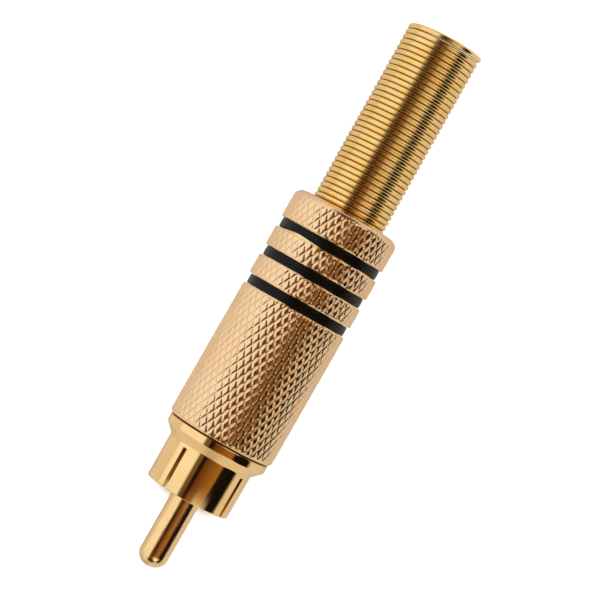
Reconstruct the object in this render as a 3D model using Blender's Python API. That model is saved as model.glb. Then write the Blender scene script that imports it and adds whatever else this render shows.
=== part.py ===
"""A soldered phono plug with a coil-spring strain relief, lying on its barrel.

Units are metres. Every piece is modelled about one axis: local z is the station
along the plug, zero at the pin's tip and growing towards the spring's free end.
The plug_axis empty then lays that axis along world X, with the pin towards -X.
"""

from math import cos, pi, radians, sin

import bmesh
import bpy
from mathutils import Matrix

# Driving dimensions
PIN_DIAMETER = 0.003175
PIN_PROUD = 0.00823          # pin's tip to the collar's rim
COLLAR_DIAMETER = 0.0094
COLLAR_LENGTH = 0.00492      # rim to the foot of the flange's cone
FLANGE_WIDTH = 0.0009
BARREL_LENGTH = 0.02637
SPRING_DIAMETER = 0.0082
SPRING_PROUD = 0.02075       # barrel's rear face to the spring's free end
WIRE_DIAMETER = 0.00058
COIL_PITCH = 0.000598

# Fits
SHOULDER_GAP = 0.0001        # barrel's mouth to the flange it is screwed against
THREAD_CLEARANCE = 0.00005
PRESS_CLEARANCE = 0.00004    # pin, insulator and lug in their seats
RING_CLEARANCE = 0.00004
SPRING_CLEARANCE = 0.0001    # spring in the barrel's rear hole
EDGE_BREAK = 0.00012
OVERRUN = 0.001              # how far cutters pass the faces that they cut

# Contact pin
NOSE_LENGTH = 0.00145
PIN_SHOULDER_STEP = 0.0006
PIN_SHOULDER_WIDTH = 0.0008
CUP_NECK_LENGTH = 0.0007
CUP_LENGTH = 0.0032
CUP_WALL = 0.0004
CUP_SCOOP_LENGTH = 0.0021

# Insulator
INSULATOR_WALL = 0.0014
INSULATOR_HEAD = 0.0009      # thickness of the head that sits inside the collar

# Turned body
COLLAR_WALL = 0.00055
COLLAR_PINCH = 0.00003       # the slotted fingers are closed in a little at the rim
SLOT_WIDTH = 0.0005
SLOT_LENGTH = 0.00457
SLOT_ANGLE = radians(57)     # first slot, round from straight up towards -Y
CONE_LENGTH = 0.00098
FLANGE_INSET = 0.00027       # flange below the barrel's outside
SPIGOT_LENGTH = 0.0050
RELIEF_WIDTH = 0.0006        # turned groove where the thread runs out
RELIEF_DEPTH = 0.0003
NECK_WALL = 0.00045
LIP_STEP = 0.00035           # neck's end, swaged out over the lug
LIP_WIDTH = 0.0003

# Ground lug
SHEET_GAUGE = 0.0005
LUG_RING_INSET = 0.0002      # ring inside the barrel's bore
SPINE_INSET = 0.0001
LIP_CLEARANCE = 0.0000325     # lug's spine past the swaged lip
SPINE_LENGTH = 0.0126
SPINE_HALF_ANGLE = radians(30)
EAR_LENGTH = 0.0032
EAR_HALF_ANGLE = radians(105)
SOLDER_HOLE_DIAMETER = 0.0016
SOLDER_HOLE_PLACE = 0.0048   # ring to the hole's centre

# Barrel
BARREL_WALL = 0.00125
REAR_WALL = 0.0019
REAR_SHOULDER_RADIUS = 0.0009
MOUTH_CHAMFER = 0.0003
BAND_WIDTH = 0.00106
BAND_PITCH = 0.00332
REAR_BAND_INSET = 0.00395    # barrel's rear face to the middle of the last band
BAND_RECESS = 0.00027        # band's outside below the barrel's
BAND_THICKNESS = 0.00045
GROOVE_CHAMFER = 0.00013
BAND_NAMES = ("band_ring_rear", "band_ring_middle", "band_ring_front")

# Strain-relief spring
RETAINING_STEP = 0.0005      # how far the kept turns stand out past the rear hole
RETAINED_TURNS = 1.25
TAPER_TURNS = 0.25
TAIL_TURNS = 0.4
TAIL_FLARE = 0.00012
WIRE_END_ANGLE = radians(77)  # cut end of the wire, round from straight up towards -Y

# Facets
TURNED_SIDES = 42
SMALL_SIDES = 30
ARC_STEPS = 4
NOSE_STEPS = 6
COIL_STEPS = 16
WIRE_SIDES = 6
HOLE_SIDES = 12
SHEET_STEP = radians(15)
SHARP_ANGLE = radians(35)
MERGE_DISTANCE = 0.0000001

# Radii that follow
pin_radius = PIN_DIAMETER / 2
collar_radius = COLLAR_DIAMETER / 2
collar_bore = collar_radius - COLLAR_WALL
head_radius = collar_bore - PRESS_CLEARANCE
spring_radius = SPRING_DIAMETER / 2
wire_radius = WIRE_DIAMETER / 2
rear_hole = spring_radius + SPRING_CLEARANCE
barrel_bore = rear_hole + RETAINING_STEP
barrel_radius = barrel_bore + BARREL_WALL
spigot_radius = barrel_bore - THREAD_CLEARANCE
flange_radius = barrel_radius - FLANGE_INSET
band_radius = barrel_radius - BAND_RECESS
groove_radius = band_radius - BAND_THICKNESS - RING_CLEARANCE

# Radii inside the barrel, from its bore inwards
ring_radius = barrel_bore - LUG_RING_INSET
spine_radius = ring_radius - SPINE_INSET
lip_radius = spine_radius - SHEET_GAUGE - LIP_CLEARANCE
neck_radius = lip_radius - LIP_STEP
seat_bore = neck_radius - NECK_WALL
insulator_radius = seat_bore - PRESS_CLEARANCE
insulator_bore = insulator_radius - INSULATOR_WALL
shank_radius = insulator_bore - PRESS_CLEARANCE
cup_bore = shank_radius - CUP_WALL

# Stations that follow
collar_rim = PIN_PROUD
cone_foot = collar_rim + COLLAR_LENGTH
flange_front = cone_foot + CONE_LENGTH
flange_rear = flange_front + FLANGE_WIDTH
head_seat = flange_front
head_front = head_seat - PRESS_CLEARANCE - INSULATOR_HEAD
shank_front = head_front - PRESS_CLEARANCE
barrel_front = flange_rear + SHOULDER_GAP
barrel_rear = barrel_front + BARREL_LENGTH
rear_wall_face = barrel_rear - REAR_WALL
spigot_end = flange_rear + SPIGOT_LENGTH
ring_front = spigot_end + PRESS_CLEARANCE
ring_rear = ring_front + SHEET_GAUGE
lip_front = ring_rear + PRESS_CLEARANCE
body_rear = lip_front + LIP_WIDTH
spring_end = barrel_rear + SPRING_PROUD
rear_band = barrel_rear - REAR_BAND_INSET

wire_reach = wire_radius * cos(pi / WIRE_SIDES)
last_turn = spring_end - wire_radius
half_length = (last_turn + wire_reach) / 2
axis_height = barrel_radius * cos(pi / TURNED_SIDES)


def clear_scene():
    for obj in list(bpy.data.objects):
        bpy.data.objects.remove(obj, do_unlink=True)


def make_material(name, color, roughness, metallic):
    material = bpy.data.materials.new(name)
    material.use_nodes = True
    shader = material.node_tree.nodes["Principled BSDF"]
    shader.inputs["Base Color"].default_value = (*color, 1)
    shader.inputs["Roughness"].default_value = roughness
    shader.inputs["Metallic"].default_value = metallic
    material.diffuse_color = (*color, 1)
    return material


def finish_object(name, bm, parent, material=None):
    """Closes up the mesh, turns its faces outwards and hangs it on the axis."""
    bmesh.ops.remove_doubles(bm, verts=bm.verts, dist=MERGE_DISTANCE)
    bmesh.ops.recalc_face_normals(bm, faces=bm.faces)
    mesh = bpy.data.meshes.new(name)
    bm.to_mesh(mesh)
    bm.free()
    obj = bpy.data.objects.new(name, mesh)
    bpy.context.scene.collection.objects.link(obj)
    obj.parent = parent
    if material:
        mesh.materials.append(material)
        mesh.shade_smooth()
        mesh.set_sharp_from_angle(angle=SHARP_ANGLE)
    return obj


def turned(outline, sides):
    """Spins an outline of (radius, station) points round the axis.

    An outline that starts and ends on the axis is a solid bar, and any other is
    a closed ring. A flat side, not a corner, faces straight down.
    """
    bm = bmesh.new()
    verts = [bm.verts.new((radius, 0, station)) for radius, station in outline]
    edges = [bm.edges.new(pair) for pair in zip(verts, verts[1:])]
    if outline[0][0] > 0:
        edges.append(bm.edges.new((verts[-1], verts[0])))
    bmesh.ops.rotate(bm, verts=verts, cent=(0, 0, 0), matrix=Matrix.Rotation(pi / sides, 3, "Z"))
    bmesh.ops.spin(
        bm, geom=verts + edges, cent=(0, 0, 0), axis=(0, 0, 1),
        angle=2 * pi, steps=sides, use_merge=True,
    )
    return bm


def rounded_corner(radius, station, size, start, end, steps=ARC_STEPS):
    """Points of an arc about (radius, station); angles from the outward radius."""
    angles = [start + (end - start) * i / steps for i in range(steps + 1)]
    return [(radius + size * cos(a), station + size * sin(a)) for a in angles]


def make_cutter(name, size, place, turn, parent):
    """A box that only cuts: size and place in the axis frame, then turned round it."""
    bm = bmesh.new()
    bmesh.ops.create_cube(bm, size=1)
    bmesh.ops.scale(bm, verts=bm.verts, vec=size)
    bmesh.ops.translate(bm, verts=bm.verts, vec=place)
    bmesh.ops.rotate(bm, verts=bm.verts, cent=(0, 0, 0), matrix=Matrix.Rotation(turn, 3, "Z"))
    return hide_tool(finish_object(name, bm, parent))


def hide_tool(obj):
    obj.hide_render = True
    obj.display_type = "WIRE"
    return obj


def combine(obj, tool, operation):
    modifier = obj.modifiers.new(tool.name, "BOOLEAN")
    modifier.operation = operation
    modifier.object = tool


def up_turn(angle):
    """Local angle for one that is measured round the axis from straight up towards -Y."""
    return pi + angle


def make_center_pin(axis, material):
    """Round-nosed rod with a shoulder behind the insulator and a scooped solder cup."""
    shoulder_radius = shank_radius + PIN_SHOULDER_STEP
    shoulder_front = lip_front + PRESS_CLEARANCE
    shoulder_rear = shoulder_front + PIN_SHOULDER_WIDTH
    cup_front = shoulder_rear + CUP_NECK_LENGTH
    cup_end = cup_front + CUP_LENGTH
    nose_angles = [pi / 2 * i / NOSE_STEPS for i in range(NOSE_STEPS + 1)]
    nose = [(pin_radius * sin(a), NOSE_LENGTH * (1 - cos(a))) for a in nose_angles]
    outline = nose + [
        (pin_radius, shank_front),
        (shank_radius, shank_front),
        (shank_radius, shoulder_front),
        (shoulder_radius, shoulder_front),
        (shoulder_radius, shoulder_rear),
        (shank_radius, shoulder_rear),
        (shank_radius, cup_end),
        (cup_bore, cup_end),
        (cup_bore, cup_front),
        (0, cup_front),
    ]
    pin = finish_object("center_pin", turned(outline, SMALL_SIDES), axis, material)
    scoop_width = 2 * shank_radius + OVERRUN
    scoop_size = (scoop_width, scoop_width, CUP_SCOOP_LENGTH + OVERRUN)
    scoop_front = cup_end - CUP_SCOOP_LENGTH
    scoop_place = (-scoop_size[0] / 2, 0, scoop_front + scoop_size[2] / 2)
    combine(pin, make_cutter("cup_scoop", scoop_size, scoop_place, 0, axis), "DIFFERENCE")


def make_insulator(axis, material):
    """Headed bush, pushed in from the collar, that carries the pin."""
    outline = [
        (insulator_bore, head_front),
        (head_radius - EDGE_BREAK, head_front),
        (head_radius, head_front + EDGE_BREAK),
        (head_radius, head_seat - PRESS_CLEARANCE),
        (insulator_radius, head_seat - PRESS_CLEARANCE),
        (insulator_radius, lip_front),
        (insulator_bore, lip_front),
    ]
    finish_object("pin_insulator", turned(outline, SMALL_SIDES), axis, material)


def make_plug_body(axis, material):
    """Collar, cone, flange, spigot and swaged neck, turned in one piece and slotted."""
    rim_radius = collar_radius - COLLAR_PINCH
    rim_bore = rim_radius - COLLAR_WALL
    slot_root = collar_rim + SLOT_LENGTH
    thread_front = flange_rear + RELIEF_WIDTH
    relief_radius = spigot_radius - RELIEF_DEPTH
    outline = [
        (rim_bore + EDGE_BREAK, collar_rim),
        (rim_radius - EDGE_BREAK, collar_rim),
        (rim_radius, collar_rim + EDGE_BREAK),
        (collar_radius, slot_root),
        (collar_radius, cone_foot),
        (flange_radius, flange_front),
        (flange_radius, flange_rear - EDGE_BREAK / 2),
        (flange_radius - EDGE_BREAK / 2, flange_rear),
        (relief_radius, flange_rear),
        (relief_radius, thread_front),
        (spigot_radius, thread_front + RELIEF_DEPTH),
        (spigot_radius, spigot_end - EDGE_BREAK),
        (spigot_radius - EDGE_BREAK, spigot_end),
        (neck_radius, spigot_end),
        (neck_radius, lip_front),
        (lip_radius, lip_front),
        (lip_radius, body_rear),
        (seat_bore, body_rear),
        (seat_bore, head_seat),
        (collar_bore, head_seat),
        (collar_bore, slot_root),
        (rim_bore, collar_rim + EDGE_BREAK),
    ]
    body = finish_object("plug_body", turned(outline, TURNED_SIDES), axis, material)
    slot_size = (COLLAR_DIAMETER + OVERRUN, SLOT_WIDTH, SLOT_LENGTH + OVERRUN)
    slot_place = (0, 0, slot_root - slot_size[2] / 2)
    for i in range(2):
        turn = up_turn(SLOT_ANGLE) + i * pi / 2
        combine(body, make_cutter(f"slot_saw_{i}", slot_size, slot_place, turn, axis), "DIFFERENCE")


def bent_sheet(outer, cells):
    """Sheet bent round the axis: cells of (low angle, high angle, front, rear)."""
    bm = bmesh.new()
    for low, high, front, rear in cells:
        columns = max(1, round((high - low) / SHEET_STEP))
        angles = [low + (high - low) * i / columns for i in range(columns + 1)]
        for a, b in zip(angles, angles[1:]):
            corners = [(a, front), (b, front), (b, rear), (a, rear)]
            bm.faces.new([bm.verts.new((outer * cos(t), outer * sin(t), z)) for t, z in corners])
    bmesh.ops.remove_doubles(bm, verts=bm.verts, dist=MERGE_DISTANCE)
    inner = bmesh.ops.extrude_face_region(bm, geom=bm.faces[:])["geom"]
    inner_verts = [item for item in inner if isinstance(item, bmesh.types.BMVert)]
    share = (outer - SHEET_GAUGE) / outer
    bmesh.ops.scale(bm, verts=inner_verts, vec=(share, share, 1))
    return bm


def make_ground_lug(axis, material):
    """Ring under the swaged neck, a spine along the bore and ears round the cable."""
    ring = [
        (neck_radius + PRESS_CLEARANCE, ring_front),
        (ring_radius, ring_front),
        (ring_radius, ring_rear),
        (neck_radius + PRESS_CLEARANCE, ring_rear),
    ]
    lug = finish_object("ground_lug", turned(ring, TURNED_SIDES), axis, material)
    spine_front = ring_front + SHEET_GAUGE / 2
    spine_end = ring_rear + SPINE_LENGTH
    ear_front = spine_end - EAR_LENGTH
    cells = [
        (-SPINE_HALF_ANGLE, SPINE_HALF_ANGLE, spine_front, ear_front),
        (-SPINE_HALF_ANGLE, SPINE_HALF_ANGLE, ear_front, spine_end),
        (SPINE_HALF_ANGLE, EAR_HALF_ANGLE, ear_front, spine_end),
        (-EAR_HALF_ANGLE, -SPINE_HALF_ANGLE, ear_front, spine_end),
    ]
    spine = hide_tool(finish_object("lug_spine", bent_sheet(spine_radius, cells), axis))
    combine(lug, spine, "UNION")

    bm = bmesh.new()
    hole_radius = SOLDER_HOLE_DIAMETER / 2
    bmesh.ops.create_cone(
        bm, cap_ends=True, segments=HOLE_SIDES, depth=SHEET_GAUGE + OVERRUN,
        radius1=hole_radius, radius2=hole_radius,
    )
    bmesh.ops.rotate(bm, verts=bm.verts, cent=(0, 0, 0), matrix=Matrix.Rotation(pi / 2, 3, "Y"))
    bmesh.ops.translate(bm, verts=bm.verts, vec=(ring_radius, 0, ring_rear + SOLDER_HOLE_PLACE))
    combine(lug, hide_tool(finish_object("solder_hole", bm, axis)), "DIFFERENCE")


def band_station(index):
    """Middle of a band's groove; bands are counted from the barrel's rear."""
    return rear_band - index * BAND_PITCH


def make_barrel(axis, material):
    """Tube with a lipped rear end, and a chamfered groove for each band."""
    outline = [
        (barrel_bore + EDGE_BREAK, barrel_front),
        (barrel_radius - MOUTH_CHAMFER, barrel_front),
        (barrel_radius, barrel_front + MOUTH_CHAMFER),
    ]
    half_groove = BAND_WIDTH / 2 + RING_CLEARANCE
    for index in reversed(range(len(BAND_NAMES))):
        middle = band_station(index)
        outline += [
            (barrel_radius, middle - half_groove - GROOVE_CHAMFER),
            (barrel_radius - GROOVE_CHAMFER, middle - half_groove),
            (groove_radius, middle - half_groove),
            (groove_radius, middle + half_groove),
            (barrel_radius - GROOVE_CHAMFER, middle + half_groove),
            (barrel_radius, middle + half_groove + GROOVE_CHAMFER),
        ]
    shoulder_radius = barrel_radius - REAR_SHOULDER_RADIUS
    shoulder_station = barrel_rear - REAR_SHOULDER_RADIUS
    outline += rounded_corner(shoulder_radius, shoulder_station, REAR_SHOULDER_RADIUS, 0, pi / 2)
    outline += [
        (rear_hole + EDGE_BREAK, barrel_rear),
        (rear_hole, barrel_rear - EDGE_BREAK),
        (rear_hole, rear_wall_face),
        (barrel_bore, rear_wall_face),
        (barrel_bore, barrel_front + EDGE_BREAK),
    ]
    finish_object("barrel", turned(outline, TURNED_SIDES), axis, material)


def make_band_ring(index, axis, material):
    """Moulded ring, snapped into its groove."""
    middle = band_station(index)
    inner = groove_radius + RING_CLEARANCE
    outline = [
        (inner, middle - BAND_WIDTH / 2),
        (band_radius, middle - BAND_WIDTH / 2),
        (band_radius, middle + BAND_WIDTH / 2),
        (inner, middle + BAND_WIDTH / 2),
    ]
    finish_object(BAND_NAMES[index], turned(outline, TURNED_SIDES), axis, material)


def smooth_share(share):
    share = min(max(share, 0), 1)
    return share * share * (3 - 2 * share)


def make_spring(axis, material):
    """Right-hand coil: kept turns behind the barrel's lip, then close turns to the cut end."""
    coil_radius = spring_radius - wire_radius
    taper_end = rear_wall_face - wire_radius - SPRING_CLEARANCE
    kept_turns = RETAINED_TURNS + TAPER_TURNS
    turns = (last_turn - taper_end) / COIL_PITCH + kept_turns
    steps = round(turns * COIL_STEPS)
    kept_growth = RETAINING_STEP - SPRING_CLEARANCE / 2

    bm = bmesh.new()
    rings = []
    for step in range(steps + 1):
        to_end = (steps - step) / COIL_STEPS
        from_start = step / COIL_STEPS
        tapered = smooth_share((from_start - RETAINED_TURNS) / TAPER_TURNS)
        flared = smooth_share(1 - to_end / TAIL_TURNS)
        radius = coil_radius + kept_growth * (1 - tapered) + TAIL_FLARE * flared
        angle = up_turn(WIRE_END_ANGLE) - 2 * pi * to_end
        station = last_turn - COIL_PITCH * to_end
        ring = []
        for side in range(WIRE_SIDES):
            around = 2 * pi * side / WIRE_SIDES
            reach = radius + wire_radius * cos(around)
            height = station + wire_radius * sin(around)
            ring.append(bm.verts.new((reach * cos(angle), reach * sin(angle), height)))
        rings.append(ring)
    for ring, following in zip(rings, rings[1:]):
        for side in range(WIRE_SIDES):
            after = (side + 1) % WIRE_SIDES
            bm.faces.new((ring[side], ring[after], following[after], following[side]))
    bm.faces.new(rings[0])
    bm.faces.new(rings[-1])
    finish_object("strain_relief_spring", bm, axis, material)


def main():
    clear_scene()
    axis = bpy.data.objects.new("plug_axis", None)
    bpy.context.scene.collection.objects.link(axis)
    axis.location = (-half_length, 0, axis_height)
    axis.rotation_euler = (0, pi / 2, 0)

    make_center_pin(axis, make_material("pin_gold", (0.86, 0.62, 0.33), 0.16, 1.0))
    make_insulator(axis, make_material("insulator_black", (0.03, 0.028, 0.026), 0.45, 0.0))
    make_plug_body(axis, make_material("body_gold", (0.88, 0.66, 0.38), 0.16, 1.0))
    make_ground_lug(axis, make_material("lug_gold", (0.80, 0.60, 0.34), 0.30, 1.0))
    make_barrel(axis, make_material("barrel_satin_gold", (0.84, 0.62, 0.42), 0.36, 1.0))
    for index, name in enumerate(BAND_NAMES):
        make_band_ring(index, axis, make_material(f"{name}_black", (0.015, 0.015, 0.015), 0.5, 0.0))
    make_spring(axis, make_material("spring_gold", (0.88, 0.66, 0.36), 0.18, 1.0))


main()
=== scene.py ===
import math

import bmesh
import bpy
from mathutils import Matrix, Vector, noise


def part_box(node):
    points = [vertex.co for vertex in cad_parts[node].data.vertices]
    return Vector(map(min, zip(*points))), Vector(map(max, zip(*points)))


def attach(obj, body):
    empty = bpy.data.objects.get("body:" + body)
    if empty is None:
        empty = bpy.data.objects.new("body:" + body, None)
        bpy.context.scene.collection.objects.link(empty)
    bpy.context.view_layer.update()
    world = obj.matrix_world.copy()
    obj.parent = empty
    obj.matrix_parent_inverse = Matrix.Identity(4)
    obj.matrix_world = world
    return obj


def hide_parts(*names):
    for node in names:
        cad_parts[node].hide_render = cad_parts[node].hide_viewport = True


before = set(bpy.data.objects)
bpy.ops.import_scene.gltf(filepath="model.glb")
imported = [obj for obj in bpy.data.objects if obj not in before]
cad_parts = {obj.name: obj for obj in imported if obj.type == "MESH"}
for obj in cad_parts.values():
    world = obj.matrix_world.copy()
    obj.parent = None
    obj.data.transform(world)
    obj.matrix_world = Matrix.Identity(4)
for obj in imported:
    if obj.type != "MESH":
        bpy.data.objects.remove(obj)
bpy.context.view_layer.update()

# Lengths here are millimetres from the pin's tip along the plug, and round its axis.
# Angles are degrees round the axis, from straight up towards -Y.
mm = 0.001
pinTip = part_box("center_pin")[0].x
axisHeight = (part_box("barrel")[0].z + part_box("barrel")[1].z) / 2
toWorld = Matrix.Translation((pinTip, 0, axisHeight)) @ Matrix.Scale(mm, 4)
scene = bpy.context.scene
print("frame loaded")


# Camera, straight above the plug and turned so that the pin points down to the left
camera = {
    "place": (0.000408, -0.000041, 0.21974),
    "turn": -60.17,
    "lens": 124.7,
    "sensor": 36.0,
    "clip": (0.01, 20),
}


def makeCamera():
    data = bpy.data.cameras.new("photoCamera")
    data.lens = camera["lens"]
    data.sensor_width = camera["sensor"]
    data.clip_start, data.clip_end = camera["clip"]
    eye = bpy.data.objects.new("photoCamera", data)
    eye.location = camera["place"]
    eye.rotation_euler = (0, 0, math.radians(camera["turn"]))
    scene.collection.objects.link(eye)
    scene.camera = eye


makeCamera()
print("camera ready")


# Mesh helpers
def roundPoint(station, radius, angle):
    return Vector((station, -radius * math.sin(angle), radius * math.cos(angle)))


def filleted(outline, closed=True, steps=4, sideShare=0.48):
    # a corner is a station, a radius and a fillet, which takes at most sideShare of either side
    points = []
    count = len(outline)
    for index, (station, radius, fillet) in enumerate(outline):
        corner = Vector((station, radius))
        atEnd = not closed and index in (0, count - 1)
        if fillet == 0 or atEnd:
            points.append(corner)
            continue
        before = Vector(outline[index - 1][:2]) - corner
        after = Vector(outline[(index + 1) % count][:2]) - corner
        opening = before.angle(after)
        reach = min(fillet / math.tan(opening / 2), sideShare * before.length, sideShare * after.length)
        size = reach * math.tan(opening / 2)
        middle = corner + (before.normalized() + after.normalized()).normalized() * size / math.sin(opening / 2)
        start = corner + before.normalized() * reach - middle
        end = corner + after.normalized() * reach - middle
        sweep = start.angle(end)
        for step in range(steps + 1):
            share = step / steps
            spoke = (start * math.sin((1 - share) * sweep) + end * math.sin(share * sweep)) / math.sin(sweep)
            points.append(middle + spoke)
    return points


def lathe(outline, sides, closed=True):
    shape = bmesh.new()
    rings = []
    angles = [2 * math.pi * i / sides for i in range(sides)]
    for station, radius in outline:
        if radius < 0.0001:  # on the axis
            rings.append([shape.verts.new((station, 0, 0))])
        else:
            rings.append([shape.verts.new(roundPoint(station, radius, angle)) for angle in angles])
    pairs = list(zip(rings, rings[1:]))
    if closed:
        pairs.append((rings[-1], rings[0]))
    for ring, following in pairs:
        for i in range(sides):
            j = (i + 1) % sides
            if len(ring) == 1:
                shape.faces.new((ring[0], following[i], following[j]))
            elif len(following) == 1:
                shape.faces.new((ring[i], following[0], ring[j]))
            else:
                shape.faces.new((ring[i], following[i], following[j], ring[j]))
    bmesh.ops.recalc_face_normals(shape, faces=shape.faces)
    return shape


def looseObject(name, shape):
    mesh = bpy.data.meshes.new(name)
    shape.to_mesh(mesh)
    shape.free()
    piece = bpy.data.objects.new(name, mesh)
    scene.collection.objects.link(piece)
    return piece


def bakeModifiers(piece):
    graph = bpy.context.evaluated_depsgraph_get()
    graph.update()
    result = bpy.data.meshes.new_from_object(
        piece.evaluated_get(graph), preserve_all_data_layers=True, depsgraph=graph
    )
    piece.modifiers.clear()
    piece.data = result
    result.name = piece.name


def cutWith(piece, tools):
    for tool in tools:
        modifier = piece.modifiers.new(tool.name, "BOOLEAN")
        modifier.operation = "DIFFERENCE"
        modifier.solver = "EXACT"
        modifier.object = tool
    bakeModifiers(piece)
    for tool in tools:
        bpy.data.objects.remove(tool)


def fitToFrame(piece, material, cadNode, sharpAngle=32):
    mesh = piece.data
    mesh.transform(toWorld)
    mesh.materials.clear()
    mesh.materials.append(material)
    mesh.shade_smooth()
    mesh.set_sharp_from_angle(angle=math.radians(sharpAngle))
    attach(piece, "root")
    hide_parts(cadNode)


# Node helpers
def put(tree, kind, settings=None, inputs=None):
    node = tree.nodes.new(kind)
    for key, value in (settings or {}).items():
        setattr(node, key, value)
    for key, value in (inputs or {}).items():
        if isinstance(value, bpy.types.NodeSocket):
            tree.links.new(value, node.inputs[key])
        else:
            node.inputs[key].default_value = value
    return node


def calc(tree, operation, *operands):
    return put(tree, "ShaderNodeMath", {"operation": operation}, dict(enumerate(operands))).outputs[0]


def vectorCalc(tree, operation, *operands):
    return put(tree, "ShaderNodeVectorMath", {"operation": operation}, dict(enumerate(operands))).outputs


def remap(tree, value, low, high, newLow=0.0, newHigh=1.0, smooth=False):
    kind = "SMOOTHSTEP" if smooth else "LINEAR"
    sockets = {"Value": value, "From Min": low, "From Max": high, "To Min": newLow, "To Max": newHigh}
    return put(tree, "ShaderNodeMapRange", {"interpolation_type": kind}, sockets).outputs["Result"]


def blendColors(tree, factor, first, second):
    node = put(tree, "ShaderNodeMix", {"data_type": "RGBA"}, {0: factor, 6: first, 7: second})
    return node.outputs[2]


def axesOf(tree, vector):
    return put(tree, "ShaderNodeSeparateXYZ", None, {0: vector}).outputs


def attributeOf(tree, name):
    return put(tree, "ShaderNodeAttribute", {"attribute_name": name}).outputs["Fac"]


def newTree(name, kind, inputs, outputs):
    tree = bpy.data.node_groups.new(name, kind)
    for label, socketType, value in inputs:
        socket = tree.interface.new_socket(label, in_out="INPUT", socket_type=socketType)
        if value is not None:
            socket.default_value = value
    for label, socketType in outputs:
        tree.interface.new_socket(label, in_out="OUTPUT", socket_type=socketType)
    return tree, tree.nodes.new("NodeGroupInput").outputs, tree.nodes.new("NodeGroupOutput").inputs


def runTree(piece, tree, values):
    modifier = piece.modifiers.new(tree.name, "NODES")
    modifier.node_group = tree
    for item in tree.interface.items_tree:
        if item.item_type == "SOCKET" and item.in_out == "INPUT" and item.name in values:
            modifier[item.identifier] = values[item.name]
    bakeModifiers(piece)


def endTree(tree, geometry, given, result):
    whole = put(tree, "GeometryNodeRealizeInstances", None, {"Geometry": geometry})
    painted = put(tree, "GeometryNodeSetMaterial", None,
                  {"Geometry": whole.outputs[0], "Material": given["Material"]})
    tree.links.new(painted.outputs[0], result["Geometry"])
    return tree


# Surface effects shared by the plated pieces and the mouldings, with scales per millimetre
surface = {
    "mottleScale": 0.55, "grainScale": 16.0, "streakScale": (0.5, 9.0, 9.0), "speckScale": 2.6,
    "speckEdge": (0.05, 0.09), "toneRange": (0.35, 0.65), "noiseRange": (0.3, 0.7),
}


def makePlateDetail():
    tree, given, result = newTree(
        "plateDetail", "ShaderNodeTree",
        [("Vector", "NodeSocketVector", None), ("Lines Per Mm", "NodeSocketFloat", 9.0)],
        [("Mottle", "NodeSocketFloat"), ("Grain", "NodeSocketFloat"), ("Lines", "NodeSocketFloat"),
         ("Streaks", "NodeSocketFloat"), ("Specks", "NodeSocketFloat")],
    )
    stationMm = (-pinTip / mm, 0, -axisHeight / mm)
    place = put(tree, "ShaderNodeMapping", None,
                {"Vector": given["Vector"], "Location": stationMm, "Scale": (1 / mm,) * 3})
    point = place.outputs[0]
    mottle = put(tree, "ShaderNodeTexNoise", None,
                 {"Vector": point, "Scale": surface["mottleScale"], "Detail": 4.0})
    grain = put(tree, "ShaderNodeTexNoise", None,
                {"Vector": point, "Scale": surface["grainScale"], "Detail": 3.0})
    along = axesOf(tree, point)["X"]
    lines = put(
        tree, "ShaderNodeTexNoise", {"noise_dimensions": "1D"},
        {"W": calc(tree, "MULTIPLY", along, given["Lines Per Mm"]), "Scale": 1.0, "Detail": 3.0},
    )
    drawn = put(tree, "ShaderNodeMapping", None, {"Vector": point, "Scale": surface["streakScale"]}).outputs[0]
    streaks = put(tree, "ShaderNodeTexNoise", None, {"Vector": drawn, "Scale": 1.0, "Detail": 3.0})
    specks = put(tree, "ShaderNodeTexVoronoi", None,
                 {"Vector": point, "Scale": surface["speckScale"], "Randomness": 1.0})
    speck = remap(tree, specks.outputs["Distance"], *surface["speckEdge"], 1.0, 0.0)
    tree.links.new(streaks.outputs["Fac"], result["Streaks"])
    tree.links.new(mottle.outputs["Fac"], result["Mottle"])
    tree.links.new(grain.outputs["Fac"], result["Grain"])
    tree.links.new(lines.outputs["Fac"], result["Lines"])
    tree.links.new(speck, result["Specks"])
    return tree


plateDetail = makePlateDetail()


def newMaterial(name):
    material = bpy.data.materials.new(name)
    material.use_nodes = True
    tree = material.node_tree
    shader = tree.nodes["Principled BSDF"]
    return material, tree, shader


def detailGroup(tree):
    where = tree.nodes.new("ShaderNodeTexCoord").outputs["Object"]
    return put(tree, "ShaderNodeGroup", {"node_tree": plateDetail}, {"Vector": where})


def plateMaterial(name, finish):
    material, tree, shader = newMaterial(name)
    group = detailGroup(tree)
    group.inputs["Lines Per Mm"].default_value = finish["linesPerMm"]
    detail = group.outputs
    tone = remap(tree, detail[finish["toneFrom"]], *surface["toneRange"])
    color = blendColors(tree, tone, finish["deepColor"], finish["color"])
    tree.links.new(color, shader.inputs["Base Color"])
    shader.inputs["Metallic"].default_value = 1.0
    rough = remap(tree, detail["Grain"], *surface["noiseRange"], *finish["roughness"])
    tree.links.new(rough, shader.inputs["Roughness"])
    height = calc(tree, "MULTIPLY_ADD", detail["Lines"], finish["lineShare"], detail["Grain"])
    height = calc(tree, "MULTIPLY_ADD", detail["Streaks"], finish["streakShare"], height)
    bump = put(tree, "ShaderNodeBump", None, {"Strength": 1.0, "Distance": finish["bump"], "Height": height})
    tree.links.new(bump.outputs[0], shader.inputs["Normal"])
    return material, tree, shader


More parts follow.
